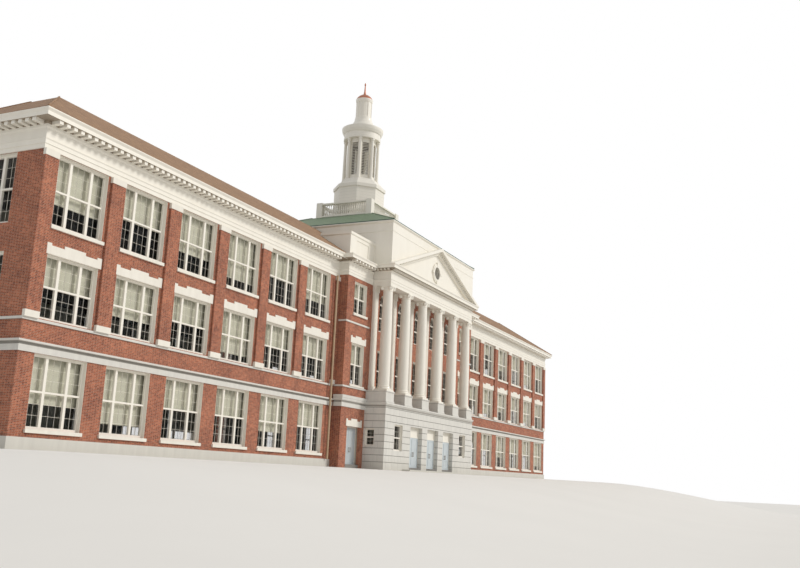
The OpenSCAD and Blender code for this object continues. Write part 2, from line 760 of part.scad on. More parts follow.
// Roof and entablature of the wings
module roof_outline() {
    edge = eave_out - 15;
    shape = [[edge, eave_z], [edge, eave_z + 20], [-deck_in, deck_z]];
    moulded(-wing_x, wing_x, 0, depth, shape, shape);
}

module wing_roofs() color("saddlebrown") difference() {
    roof_outline();
    moulded(-wing_x, wing_x, 0, depth,
        [[-wall, eave_z - cut], [-wall, eave_z + 0.11 * roof_h], [-deck_in, deck_z - roof_t]],
        [[-wall, eave_z - cut], [-wall, eave_z + 0.11 * roof_h], [-deck_in, deck_z - roof_t]]);
    box(-attic_x, attic_x, -big, big, 0, big);
    both() {
        box(-flank_x, 0, -big, parapet_y, 0, big);
        parapet_block();
    }
}

module wing_entablature() color(stone) difference() {
    wing_band(outline(eave_shape, eave_out, ent_z, ent_h));
    both() flank_mould();
}

flank_ent_z = port_ent_z + 20;

module flank_mould() {
    shape = outline(eave_shape, eave_out - 60, flank_ent_z, eave_z - flank_ent_z);
    moulded(-flank_x, -ent_x, face, 2000, shape, shape);
}

module flank_entablatures() color(stone) both() difference() {
    flank_mould();
    box(-flank_x, 0, face, big, 0, big);
    box(-ent_x - cornice_out, big, -big, big, port_top_z - 0.33 * port_ent_h, big);
    box(-ent_x - 0.13 * cornice_out, big, -big, big, 0, big);
    box(-big, -flank_x, 0, big, 0, big);
}

module parapet_block() {
    shape = outline(coping_shape, 35, eave_z, parapet_h);
    moulded(-flank_x, -attic_x, face, parapet_y, shape, shape);
}

module flank_parapets() color(stone) both() difference() {
    foot = 160;
    parapet_block();
    box(-attic_x, big, -big, big, 0, big);
    box(-flank_x + parapet_t, big, face + parapet_t, parapet_y - parapet_t, eave_z + foot, big);
    translate([(-flank_x - attic_x - panel_w) / 2, face - cut, eave_z + foot])
        cube([panel_w, 21, panel_h]);
}

// Blocks under the cornices
module row_of_blocks(x0, x1, pitch, w, y0, y1, z0, z1) {
    n = floor((x1 - x0) / pitch);
    for (i = [0:n - 1])
        box(x0 + (i + 0.5) * (x1 - x0) / n - w / 2, x0 + (i + 0.5) * (x1 - x0) / n + w / 2, y0, y1,
            z0, z1);
}

module eave_blocks(x0, x1, y, out, z, h)
    row_of_blocks(x0, x1, block_pitch, block_w, y - 0.82 * out, y - 0.16 * out - seat, z + 0.69 * h,
        z + soffit * h - seat);

module rake_blocks() {
    n = floor(ent_x / (0.6 * block_pitch));
    up = rake_t * sqrt(1 + slope * slope);
    for (i = [0:n - 2]) {
        x = (i + 0.5) * ent_x / n;
        z = ped_apex - up - slope * (x + 0.3 * block_pitch) - seat;
        if (z - 55 > port_top_z + 0.5 * up)
            box(x, x + 0.3 * block_pitch, -ent_out - 0.7 * cornice_out,
                -ent_out - 0.35 * cornice_out - seat,
                z - 45, z);
    }
}

module cornice_blocks() color(stone) both() {
    eave_blocks(-wing_x, -flank_x - eave_out, 0, eave_out, ent_z, ent_h);
    translate([-wing_x, 0, 0]) rotate([0, 0, -90]) eave_blocks(-depth, 0, 0, eave_out, ent_z, ent_h);
    translate([0, depth, 0]) rotate([0, 0, 180])
        eave_blocks(attic_x, wing_x, 0, eave_out, ent_z, ent_h);
    eave_blocks(-flank_x, -rake_x, face, eave_out - 60, flank_ent_z, eave_z - flank_ent_z);
    row_of_blocks(-ent_x, 0, 0.6 * block_pitch, 0.3 * block_pitch, -ent_out - 0.6 * cornice_out,
        -ent_out - 0.2 * cornice_out - seat, port_ent_z + 0.72 * port_ent_h,
        port_ent_z + soffit * port_ent_h - seat);
    translate([-ent_x, 0, 0]) rotate([0, 0, -90])
        row_of_blocks(-face, ent_out, 0.6 * block_pitch, 0.3 * block_pitch, -0.6 * cornice_out,
            -0.2 * cornice_out - seat, port_ent_z + 0.72 * port_ent_h,
            port_ent_z + soffit * port_ent_h - seat);
    rake_blocks();
}

// Belts and plinth
module stone_belts() color(stone) {
    wing_band(outline(flat_shape, plinth_out, 0, plinth_h));
    wing_band(outline(belt_shape, belt_out, belt_z, belt_h));
    wing_band(outline(flat_shape, band_out, band_z, band_h));
    both() {
        difference() {
            flank_band(outline(flank_belt_shape, belt_out, belt_z, flank_belt_h), belt_out);
            base_moulding();
        }
        flank_band(outline(flat_shape, band_out, band_z, band_h), belt_out);
        flank_band(outline(flat_shape, band_out, port_sills[1] - sill_lap, band_h), belt_out);
    }
}

// Sills, lintels and the white blocks of the pilasters
module lintel(xc, y, z, w) {
    ear = 0.09 * w;
    mid = 0.19 * w;
    rise = 0.25 * lintel_h;
    translate([xc, y, z]) rotate([90, 0, 0]) linear_extrude(lintel_out) polygon([
        [-w / 2, 0], [-w / 2, lintel_h + rise], [-w / 2 + ear, lintel_h + rise], [-w / 2 + ear,
            lintel_h],
        [-mid, lintel_h], [-mid, lintel_h + 1.4 * rise], [mid, lintel_h + 1.4 * rise], [mid, lintel_h],
        [w / 2 - ear, lintel_h], [w / 2 - ear, lintel_h + rise], [w / 2, lintel_h + rise], [w / 2, 0]]);
}

module sill(xc, y, z, w, h) {
    box(xc - w / 2 - sill_lap, xc + w / 2 + sill_lap, y - sill_out, y, z - h, z);
}

corner_pil_w = 220;
pilasters = concat([[-flank_x - corner_pil_w, -flank_x], [-wing_x, -wing_x + end_pil_w]],
    spans([for (i = [1:bays - 1]) -first_bay_x - (i - 0.5) * bay], pil_w));
pil_lip = 20;

module window_sills() color(stone) both() {
    for (i = [0:bays - 1]) {
        x = -first_bay_x - i * bay;
        sill(x, 0, sills[0], triple_w, sill_h);
        sill(x, 0, sills[2], triple_w, sill_h);
        lintel(x, 0, heads[1], triple_w + 140);
    }
    for (p = pilasters, z = [band_z + band_h, ent_z - pil_block_h])
        box(p[0] - pil_lip, min(p[1] + pil_lip, -flank_x), -pil_out - pil_lip, 0, z, z + pil_block_h);
    sill(-flank_mid, face, flank_rows[0][0], flank_win_w, flank_rows[0][0] - band_z - band_h);
    sill(-flank_mid, face, flank_rows[1][0], flank_win_w, sill_h);
    lintel(-flank_mid, face, flank_rows[0][1], flank_win_w + 180);
    lintel(-flank_mid, face, side_door_z, side_door_w + 180);
}

// Pilasters of the upper storeys
module wing_pilasters() color(brick) both() for (p = pilasters)
    box(p[0], p[1], -pil_out, 0, band_z + band_h + pil_block_h, ent_z - pil_block_h);

// Window frames
module frame_outline(w, h, parts) {
    inner = w - 2 * frame_w - (len(parts) - 1) * mullion_w;
    total = [for (i = 0, s = 0; i < len(parts); i = i + 1, s = s + parts[i - 1]) s];
    whole = total[len(parts) - 1] + parts[len(parts) - 1];
    light_h = h / 2 - frame_w - rail_w / 2;
    difference() {
        square([w, h]);
        for (i = [0:len(parts) - 1]) {
            x = frame_w + inner * total[i] / whole + i * mullion_w;
            pane = inner * parts[i] / whole;
            translate([x, frame_w]) square([pane, light_h]);
            translate([x, h / 2 + rail_w / 2]) square([pane, light_h]);
        }
    }
}

module frame(xc, z0, z1, w, parts, head = true) {
    translate([xc - w / 2, reveal + frame_t, z0]) rotate([90, 0, 0]) linear_extrude(frame_t)
        frame_outline(w, z1 - z0, parts);
    for (s = [-1, 1])
        box(xc + s * (w - lining_t) / 2 - lining_t / 2, xc + s * (w - lining_t) / 2 + lining_t / 2, 5,
            reveal + cut, z0, z1);
    if (head) box(xc - w / 2, xc + w / 2, 5, reveal + cut, z1 - lining_t, z1);
}

triple = [2, 3.2, 2];
single = [4];

module wing_window_frames() color("white") both() for (r = rows, i = [0:bays - 1])
    frame(-first_bay_x - i * bay, r[0], r[1], triple_w, triple);

module rear_window_frames() color("white") {
    both() for (r = rows) {
        translate([0, depth, 0]) rotate([0, 0, 180]) {
            for (i = [0:bays - 1]) frame(-first_bay_x - i * bay, r[0], r[1], triple_w, triple);
            frame(-flank_mid, r[0], r[1], port_win_w, single);
        }
        for (k = [-0.5, 0.5])
            translate([-wing_x, mid_y + k * bay, 0]) rotate([0, 0, -90]) frame(0, r[0], r[1],
                triple_w, triple);
    }
    for (r = rows, x = gaps)
        translate([0, rear_y, 0]) rotate([0, 0, 180]) frame(x, r[0], r[1], port_win_w, single);
}

module arch_frame() translate([0, reveal + frame_t, 0]) rotate([90, 0, 0]) difference() {
    cylinder(r = port_win_w / 2, h = frame_t);
    translate([0, 0, -cut]) cylinder(r = port_win_w / 2 - frame_w, h = frame_t + 2 * cut);
    translate([-port_win_w, -2 * port_win_w, -cut]) cube([2 * port_win_w, 2 * port_win_w,
        frame_t + 2 * cut]);
}

module centre_window_frames() color("white") {
    both() translate([0, face, 0]) for (r = flank_rows) frame(-flank_mid, r[0], r[1], flank_win_w,
        [2, 2]);
    for (x = gaps) translate([0, face, 0]) {
        frame(x, port_rows[0][0], port_rows[0][1], port_win_w, single);
        frame(x, port_rows[1][0], port_rows[1][1], port_win_w, single, false);
        translate([x, 0, port_rows[1][1]]) arch_frame();
    }
    both() {
        translate([0, -base_out, 0]) frame(gaps[0], base_sill, door_z, base_win_w, single);
        translate([-base_x, (side_win[0] + side_win[1]) / 2, 0]) rotate([0, 0, -90])
            frame(0, side_win_z[0], side_win_z[1], side_win[1] - side_win[0], single);
    }
}

// Sheets of glass behind the walls, one for each wall and storey
module sheets(z0, z1) {
    both() {
        box(-wing_x + wall + 30, -flank_x - 20, wall, wall + glass_t, z0, z1);
        box(-wing_x + wall, -wing_x + wall + glass_t, wall + 40, depth - wall - 40, z0, z1);
        box(-wing_x + wall + 30, -attic_x - 20, depth - wall - glass_t, depth - wall, z0, z1);
    }
    box(-attic_x + wall + 20, attic_x - wall - 20, rear_y - wall - glass_t, rear_y - wall, z0, z1);
}

module front_sheets(z0, z1) {
    both() box(-flank_x + wall + 20, -base_x - 20, face + wall, face + wall + glass_t, z0, z1);
    box(-base_x + 20, base_x - 20, face + wall, face + wall + glass_t, z0, z1);
}

module ground_glass() color("lightblue") {
    sheets(floor1, floor2 - slab);
    both() {
        box(gaps[0] - base_win_w / 2 - 30, gaps[0] + base_win_w / 2 + 30, -base_out + base_wall,
            -base_out + base_wall + glass_t, base_sill - 30, base_z - base_band);
        box(-base_x + base_wall, -base_x + base_wall + glass_t, side_win[0] - 20, side_win[1] + 20,
            side_win_z[0] - 20, side_win_z[1] + 20);
    }
}

module second_glass() color("lightblue") {
    sheets(floor2, floor3 - slab);
    front_sheets(floor2, floor3 - slab);
}

module third_glass() color("lightblue") {
    sheets(floor3, floor4 - slab);
    front_sheets(floor3, floor4 - slab);
}

// Doors, hung at hinges whose lower half is on the frame and upper half on the leaf
function hinge_heights(h) = [h * 0.12, h * 0.8];

module hinge_half(z, on_leaf) {
    translate([-leaf_gap / 2, -hinge_r, z]) cylinder(r = hinge_r, h = hinge_h);
    if (on_leaf) box(-leaf_gap / 2, flap_w, -flap_t, 0, z, z + hinge_h);
    else box(-leaf_gap - flap_w, -leaf_gap / 2, -flap_t, 0, z, z + hinge_h);
}

module door_frame(w, z_head, y_back, h, transom) {
    for (s = [-1, 1]) {
        box(s < 0 ? -w / 2 : w / 2 - jamb_w, s < 0 ? -w / 2 + jamb_w : w / 2, leaf_in, y_back,
            floor1, z_head);
        translate([s * (w / 2 - jamb_w - leaf_gap), leaf_in, floor1 + leaf_gap])
            mirror([s > 0 ? 1 : 0, 0, 0]) for (z = hinge_heights(h)) hinge_half(z, false);
    }
    if (transom) {
        box(-w / 2, w / 2, leaf_in, y_back, transom_z, transom_z + bar_h);
        box(-w / 2 + cut, w / 2 - cut, leaf_in + 20, leaf_in + 20 + glass_t,
            transom_z + bar_h - cut, z_head - cut);
    }
    box(-w / 2, w / 2, leaf_in, y_back, z_head - jamb_w, z_head);
}

module door_frames() color("white") {
    for (x = doorways) translate([x, -base_out, 0])
        door_frame(door_w, door_z, base_wall, leaf_h, true);
    both() translate([-flank_mid, face, 0])
        door_frame(side_door_w, side_door_z, wall, side_leaf_h, false);
}

module leaf(w, h) {
    stile = 62;
    field = 9;
    for (z = hinge_heights(h)) hinge_half(z + hinge_h + seat, true);
    difference() {
        cube([w, leaf_t, h]);
        for (y = [-cut, leaf_t - field])
            translate([0, y, 0]) {
                translate([stile, 0, h * 0.36]) cube([w - 2 * stile, field + cut, h * 0.64 - stile]);
                translate([stile, 0, stile * 1.6]) cube([w - 2 * stile, field + cut,
                    h * 0.36 - stile * 2.4]);
            }
    }
}

module hung_leaf(xc, y_face, w_open, w, h, side) {
    translate([xc + side * (w_open / 2 - jamb_w - leaf_gap), y_face + leaf_in, floor1 + leaf_gap])
        mirror([side > 0 ? 1 : 0, 0, 0]) leaf(w, h);
}

module entrance_leaf(i, side) color("white")
    hung_leaf(doorways[i], -base_out, door_w, leaf_w, leaf_h, side);

module side_leaf(side) color("white")
    hung_leaf(-flank_mid, face, side_door_w, side_leaf_w, side_leaf_h, side);

module entrance_1_left_leaf() entrance_leaf(0, -1);
module entrance_1_right_leaf() entrance_leaf(0, 1);
module entrance_2_left_leaf() entrance_leaf(1, -1);
module entrance_2_right_leaf() entrance_leaf(1, 1);
module entrance_3_left_leaf() entrance_leaf(2, -1);
module entrance_3_right_leaf() entrance_leaf(2, 1);
module side_door_left_leaf() side_leaf(-1);
module side_door_right_leaf() side_leaf(1);
module fixed_side_door() color("white") mirror([1, 0, 0]) {
    side_leaf(-1);
    side_leaf(1);
}

module downpipes() color("whitesmoke") both()
    translate([-flank_x - pipe_at, -pipe_out, plinth_h + cut]) cylinder(r = pipe_r,
        h = ent_z - plinth_h - 2 * cut);

pipe_out = belt_out + pipe_r + 2 * seat;

ground_floor();
second_floor();
third_floor();
attic_floor();
left_wing_wall();
right_wing_wall();
wing_end_walls();
rear_wing_walls();
rear_centre_wall();
flank_walls();
flank_piers();
portico_wall();
base_walls();
base_lintel();
base_cornice();
entrance_step();
column_blocks();
portico_columns();
portico_pilasters();
portico_entablature();
pediment();
oculus_ring();
attic_walls();
attic_roof();
roof_balustrade();
cupola_base();
cupola_drum();
cupola_ring();
lantern();
cupola_dome();
wing_roofs();
wing_entablature();
flank_entablatures();
flank_parapets();
cornice_blocks();
stone_belts();
window_sills();
wing_pilasters();
wing_window_frames();
rear_window_frames();
centre_window_frames();
ground_glass();
second_glass();
third_glass();
door_frames();
entrance_1_left_leaf();
entrance_1_right_leaf();
entrance_2_left_leaf();
entrance_2_right_leaf();
entrance_3_left_leaf();
entrance_3_right_leaf();
side_door_left_leaf();
side_door_right_leaf();
fixed_side_door();
downpipes();
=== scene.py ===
# Town hall in half size: brick wings, a six-column portico, a white attic block and a colonnaded cupola.
import json
import math
import random

import bpy
from mathutils import Matrix, Vector


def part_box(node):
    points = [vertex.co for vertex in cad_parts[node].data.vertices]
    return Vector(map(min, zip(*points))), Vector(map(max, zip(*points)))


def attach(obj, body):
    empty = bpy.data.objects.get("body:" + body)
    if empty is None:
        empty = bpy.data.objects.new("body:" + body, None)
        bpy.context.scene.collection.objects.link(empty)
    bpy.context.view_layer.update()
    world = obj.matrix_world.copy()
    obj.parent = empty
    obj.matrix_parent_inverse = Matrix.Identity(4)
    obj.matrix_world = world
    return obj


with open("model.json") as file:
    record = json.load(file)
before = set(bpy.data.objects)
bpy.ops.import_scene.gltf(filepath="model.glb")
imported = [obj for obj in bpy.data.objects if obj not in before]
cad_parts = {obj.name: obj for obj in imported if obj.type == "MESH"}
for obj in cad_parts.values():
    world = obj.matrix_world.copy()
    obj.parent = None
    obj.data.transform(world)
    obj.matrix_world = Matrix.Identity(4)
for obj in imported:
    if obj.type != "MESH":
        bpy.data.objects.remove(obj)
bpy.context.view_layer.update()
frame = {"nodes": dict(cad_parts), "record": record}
nodes = frame["nodes"]
MM = 0.001

# Sizes and places are in millimetres, apart from the camera's and the studio floor's
LOW, HIGH = 0, 1
X, Y, Z = 0, 1, 2


# Where a node of the frame begins or ends along an axis
def edge_of(name, end, axis):
    return round(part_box(name)[end][axis] / MM)


# Wings: equal bays to each side of the centre block, with a triple window in each of three storeys
BAYS = 6
BAY = 2150
FIRST_BAY = 7340
BAY_XS = [-FIRST_BAY - i * BAY for i in range(BAYS)]
STOREYS = ("ground", "second", "third")
SILLS = (460, 2800, 4880)
HEADS = (2050, 4235, 6490)
WING_X = edge_of("right_wing_wall", HIGH, X)
FLANK_X = edge_of("right_wing_wall", LOW, X)
WALL = edge_of("right_wing_wall", HIGH, Y)
DEPTH = edge_of("rear_wing_walls", HIGH, Y)
MID_Y = DEPTH / 2

# Windows: how far the frames stand back, their thickness, and the widths of frame, mullion and rail
REVEAL = 80
FRAME_T = 60
FRAME_W = 55
MULLION_W = 75
RAIL_W = 40
BARS_Y = REVEAL + FRAME_T / 2
# Shares of the width that the parts of a triple window take, the lights across each part, and the rows of
# lights in each sash
TRIPLE_W = 1540
TRIPLE_PARTS = (2, 3.2, 2)
TRIPLE_LIGHTS = (2, 3, 2)
LIGHT_ROWS = 3

# Centre block: its front and rear, the flanks, the gaps between the columns, and the base under them.
# A row of windows is the height of its sills and of its heads
FACE = edge_of("portico_wall", LOW, Y)
REAR_X = edge_of("rear_centre_wall", HIGH, X)
REAR_Y = edge_of("rear_centre_wall", HIGH, Y)
FLANK_MID = (edge_of("fixed_side_door", LOW, X) + edge_of("fixed_side_door", HIGH, X)) / 2
FLANK_WIN_W = 950
FLANK_ROWS = ((2830, 4290), (5335, 6455))
COL_PITCH = 1570
GAPS = tuple(COL_PITCH * i for i in range(-2, 3))
PORT_WIN_W = 700
PORT_ROWS = ((2830, 4290), (5000, 6060))
BASE_X = edge_of("base_walls", HIGH, X)
BASE_FACE = edge_of("base_walls", LOW, Y)
BASE_ROW = (705, 1635)
BASE_WIN_W = 690
SIDE_WIN_YS = (-800, -420)
SIDE_WIN_ROW = (820, 1435)
PLINTH_TOP = 285
COURSE = 235
GROOVE_H = 18
GROOVE_IN = 14

# Roofs and cupola: the flat top of the wing roofs, the eaves of the attic roof, and the drum
DECK_Z = edge_of("wing_roofs", HIGH, Z)
ATTIC_EAVES = edge_of("attic_roof", LOW, Z)
DRUM_FOOT = edge_of("cupola_drum", LOW, Z)
DRUM_H = edge_of("cupola_drum", HIGH, Z) - DRUM_FOOT
DRUM_R = 620
DRUM_WALL = 70

# Plaster begins PLASTER_IN behind the brick faces, in the middle of the wall. Rooms are given by their plan
# corners: the wings, the front of the centre block and its rear
PLASTER_IN = 100
ROOMS = (((PLASTER_IN - WING_X, PLASTER_IN), (WING_X - PLASTER_IN, DEPTH - PLASTER_IN)),
         ((PLASTER_IN - FLANK_X, FACE + PLASTER_IN), (FLANK_X - PLASTER_IN, WALL + PLASTER_IN)),
         ((PLASTER_IN - REAR_X, 5000), (REAR_X - PLASTER_IN, REAR_Y - PLASTER_IN)))
ROOM_ZS = (-1000, 9000)
# Low and high corners of the stone base, and of what lies behind the mouths of its grooves
BASE_BOX = ((-4290, -1300, 0), (4290, -380, 2240))
GROOVE_BOX = ((GROOVE_IN - BASE_X - 1, BASE_FACE + GROOVE_IN - 1, 200),
              (BASE_X - GROOVE_IN + 1, -371, 2240))
# The upper courses of the base, whose grooves get painted shade up to their mouths
SHADED_COURSES = ((-4290, -1210, 1500), (4290, -380, 2236))
# Heights where painted shade lies under a moulding: at the belts, under the cornice of the base, at its
# blocks
SHADE_LINES = ((2192, 2251), (2345, 2352), (2716, 2724))
# Heights between the lowest and highest edge of the cornice blocks of each entablature, where the
# entablature gets painted shade behind the blocks
BLOCK_ZONES = {"wing_entablature": (7045, 7126), "flank_entablatures": (7074, 7146),
               "portico_entablature": (7110, 7186)}


# Colours and shader nodes
def linear(hex_colour):
    channels = [int(hex_colour[i:i + 2], 16) / 255 for i in (1, 3, 5)]
    return tuple(c / 12.92 if c <= 0.04045 else ((c + 0.055) / 1.055) ** 2.4 for c in channels) + (1.0,)


# A node with its settings and links. It gives the output that out names, or all of them for None
def add(tree, kind, inputs=(), out=0, **settings):
    node = tree.nodes.new("ShaderNode" + kind)
    for name, value in settings.items():
        setattr(node, name, value)
    for key, value in (inputs.items() if isinstance(inputs, dict) else enumerate(inputs)):
        if isinstance(value, bpy.types.NodeSocket):
            tree.links.new(value, node.inputs[key])
        else:
            node.inputs[key].default_value = linear(value) if isinstance(value, str) else value
    return list(node.outputs) if out is None else node.outputs[out]


def new_material(name, base, roughness, **settings):
    material = bpy.data.materials.new(name)
    material.use_nodes = True
    tree = material.node_tree
    shader = tree.nodes["Principled BSDF"]
    shader.inputs["Base Color"].default_value = linear(base)
    shader.inputs["Roughness"].default_value = roughness
    for key, value in settings.items():
        shader.inputs[key.replace("_", " ")].default_value = value
    return material, tree, shader


# Gives the surface its colour, and presses a relief into it that is as deep as depth says
def dress(tree, shader, colour=None, relief=None, depth=1, strength=1.0):
    if colour:
        tree.links.new(colour, shader.inputs["Base Color"])
    if relief:
        pressed = add(tree, "Bump", {"Strength": strength, "Distance": depth * MM, "Height": relief})
        tree.links.new(pressed, shader.inputs["Normal"])


# The under colour with the over colour laid on it where the mask is 1, as strongly as amount says
def laid_over(tree, under, over, mask, amount=1.0):
    if amount < 1:
        mask = add(tree, "Math", (mask, amount), operation="MULTIPLY")
    return add(tree, "Mix", {0: mask, 6: under, 7: over}, out=2, data_type="RGBA")


# Cloudy noise between 0 and 1. A stretch with a small last number draws it out down the wall, as rain does
def stains(tree, point, scale, detail=4.0, stretch=None):
    if stretch:
        point = add(tree, "Mapping", {"Vector": point, "Scale": stretch})
    return add(tree, "TexNoise", {"Vector": point, "Scale": scale, "Detail": detail, "Roughness": 0.6})


def surface_point(tree):
    return add(tree, "TexCoord", out="Object")


def height_at(tree, point):
    return add(tree, "SeparateXYZ", (point,), out="Z")


# A place on the object: its point, the way along the wall that it is on, and its height
def place(tree):
    point = surface_point(tree)
    x, y, height = add(tree, "SeparateXYZ", (point,), out=None)
    facing = add(tree, "SeparateXYZ", (add(tree, "TexCoord", out="Normal"),), out=None)
    side = add(tree, "Math", (facing[0],), operation="ABSOLUTE")
    front = add(tree, "Math", (facing[1],), operation="ABSOLUTE")
    on_side = add(tree, "Math", (side, front), operation="GREATER_THAN")
    on_front = add(tree, "Math", (on_side, -1.0, 1.0), operation="MULTIPLY_ADD")
    x_part = add(tree, "Math", (x, on_front), operation="MULTIPLY")
    along = add(tree, "Math", (y, on_side, x_part), operation="MULTIPLY_ADD")
    return point, along, height


# 1 inside the box between two corners, 0 outside it
def in_box(tree, point, low, high):
    middle = [(a + b) / 2 * MM for a, b in zip(low, high)]
    half = [(b - a) / 2 * MM for a, b in zip(low, high)]
    away = add(tree, "VectorMath", (point, middle), operation="SUBTRACT")
    away = add(tree, "VectorMath", (away,), operation="ABSOLUTE")
    away = add(tree, "VectorMath", (away, half), operation="SUBTRACT")
    past_x, past_y, past_z = add(tree, "SeparateXYZ", (away,), out=None)
    worst = add(tree, "Math", (past_x, past_y), operation="MAXIMUM")
    worst = add(tree, "Math", (worst, past_z), operation="MAXIMUM")
    return add(tree, "Math", (worst, 0.0), operation="LESS_THAN")


# 1 between two heights, 0 above and below them
def level_zone(tree, height, low, high):
    away = add(tree, "Math", (height, (low + high) / 2 * MM), operation="SUBTRACT")
    away = add(tree, "Math", (away,), operation="ABSOLUTE")
    return add(tree, "Math", (away, (high - low) / 2 * MM), operation="LESS_THAN")


# 1 in the narrow joint at the start of each step, 0 elsewhere
def joint(tree, along, step, width, shift=0.0):
    part = add(tree, "Math", (along, shift * MM), operation="ADD")
    part = add(tree, "Math", (part, step * MM), operation="DIVIDE")
    part = add(tree, "Math", (part,), operation="FRACT")
    return add(tree, "Math", (part, width / step), operation="LESS_THAN")


# The number of the course at a height, how far up the course it is, and 1 in every second course
def courses(tree, height, course, foot=0):
    row = add(tree, "Math", (height, foot * MM), operation="SUBTRACT")
    row = add(tree, "Math", (row, course * MM), operation="DIVIDE")
    number = add(tree, "Math", (row,), operation="FLOOR")
    part = add(tree, "Math", (row,), operation="FRACT")
    odd = add(tree, "Math", (number, 2.0), operation="FLOORED_MODULO")
    return number, part, odd


# Moulded red-brown facing brick in Flemish bond, a stretcher and a header in turn, with burnt headers and
# pale lime joints. Walls are plastered on the inside
def facing_brick():
    course, pair, stretcher, mortar = 33.8, 160, 106.5, 5
    unburnt_share = 0.45
    material, tree, shader = new_material("Facing_brick", "#9C5843", 0.9)
    point, along, height = place(tree)
    row_number, in_row, odd = courses(tree, height, course)
    shifted = add(tree, "Math", (odd, pair / 2 * MM, along), operation="MULTIPLY_ADD")
    pairs = add(tree, "Math", (shifted, pair * MM), operation="DIVIDE")
    pair_number = add(tree, "Math", (pairs,), operation="FLOOR")
    in_pair = add(tree, "Math", (pairs,), operation="FRACT")
    header = add(tree, "Math", (in_pair, stretcher / pair), operation="GREATER_THAN")
    number = add(tree, "Math", (header, 0.5, pair_number), operation="MULTIPLY_ADD")
    brick = add(tree, "CombineXYZ", (number, row_number, 0.0))
    tone = add(tree, "TexWhiteNoise", (brick,), noise_dimensions="2D")
    colour = laid_over(tree, "#7F3F2D", "#C07354", tone)
    other_brick = add(tree, "VectorMath", (brick, (7.0, 3.0, 0.0)))
    burnt = add(tree, "TexWhiteNoise", (other_brick,), noise_dimensions="2D")
    burnt = add(tree, "Math", (burnt, unburnt_share), operation="GREATER_THAN")
    burnt = add(tree, "Math", (burnt, header), operation="MULTIPLY")
    colour = laid_over(tree, colour, "#492A26", burnt, 0.8)
    cloud = add(tree, "Math", (stains(tree, point, 1.3), stains(tree, point, 9.0)), operation="ADD")
    cloud = add(tree, "MapRange", (cloud, 0.8, 1.2, 0.0, 1.0))
    colour = laid_over(tree, colour, laid_over(tree, "#743A2C", "#C67C5C", cloud), 0.45)
    bed = add(tree, "Math", (in_row, mortar / course), operation="LESS_THAN")
    first = add(tree, "Math", (in_pair, mortar / pair), operation="LESS_THAN")
    second = add(tree, "Math", (in_pair, stretcher / pair, mortar / pair / 2), operation="COMPARE")
    joints = add(tree, "Math", (first, second), operation="MAXIMUM")
    joints = add(tree, "Math", (joints, bed), operation="MAXIMUM")
    colour = laid_over(tree, colour, "#BBA38E", joints)
    plaster = 0.0
    for low, high in ROOMS:
        room = in_box(tree, point, (*low, ROOM_ZS[0]), (*high, ROOM_ZS[1]))
        plaster = add(tree, "Math", (plaster, room), operation="MAXIMUM")
    colour = laid_over(tree, colour, "#B1AC9F", plaster)
    relief = add(tree, "Math", (joints, -1.0, 1.0), operation="MULTIPLY_ADD")
    dress(tree, shader, colour, relief, 3)
    return material


# Sawn and rubbed limestone, chalky, with faint rain streaks. The grooves of the base and the heights under
# its mouldings get painted shade, and splashes darken the foot of the walls
def limestone():
    block, block_joint, splash_h = 480, 9, 500
    material, tree, shader = new_material("Rubbed_limestone", "#D9D7D0", 0.85)
    point, along, height = place(tree)
    colour = laid_over(tree, "#C9C7C2", "#E4E2DB", stains(tree, point, 2.0, stretch=(3.0, 3.0, 0.5)))
    grain = stains(tree, point, 60.0, 2.0)
    colour = laid_over(tree, colour, "#A9A69E", grain, 0.18)
    odd = courses(tree, height, COURSE, PLINTH_TOP)[2]
    shifted = add(tree, "Math", (odd, block / 2 * MM, along), operation="MULTIPLY_ADD")
    upright = joint(tree, shifted, block, block_joint)
    upright = add(tree, "Math", (upright, in_box(tree, point, *BASE_BOX)), operation="MULTIPLY")
    colour = laid_over(tree, colour, "#8D8B87", upright, 0.55)
    # Painted shade in the grooves of the base
    shaded_grooves = add(tree, "Math", (in_box(tree, point, *GROOVE_BOX), in_box(tree, point, *SHADED_COURSES)),
                operation="MAXIMUM")
    level = joint(tree, height, COURSE, GROOVE_H, GROOVE_H / 2 - PLINTH_TOP)
    groove = add(tree, "Math", (shaded_grooves, level), operation="MULTIPLY")
    colour = laid_over(tree, colour, "#5F5B55", groove, 0.8)
    # Painted shade under the mouldings
    moulding_shade = 0.0
    for low, high in SHADE_LINES:
        moulding_shade = add(tree, "Math", (moulding_shade, level_zone(tree, height, low, high)), operation="MAXIMUM")
    colour = laid_over(tree, colour, "#77726A", moulding_shade, 0.7)
    splashes = add(tree, "MapRange", (height, 0.0, splash_h * MM, 0.35, 0.0))
    colour = laid_over(tree, colour, "#9C9788", splashes)
    relief = add(tree, "Math", (upright, -1.0, grain), operation="MULTIPLY_ADD")
    dress(tree, shader, colour, relief, 4, 0.6)
    return material


# 1 inside the drum of the cupola, behind its openings, where the woodwork gets painted shade
def in_drum(tree, point, height):
    centred = add(tree, "VectorMath", (point, (0.0, MID_Y * MM, 0.0)), operation="SUBTRACT")
    level = add(tree, "VectorMath", (centred, (1.0, 1.0, 0.0)), operation="MULTIPLY")
    reach = add(tree, "VectorMath", (level,), out="Value", operation="LENGTH")
    inside = add(tree, "Math", (reach, (DRUM_R - DRUM_WALL + 5) * MM), operation="LESS_THAN")
    beside = level_zone(tree, height, DRUM_FOOT, DRUM_FOOT + DRUM_H)
    return add(tree, "Math", (inside, beside), operation="MULTIPLY")
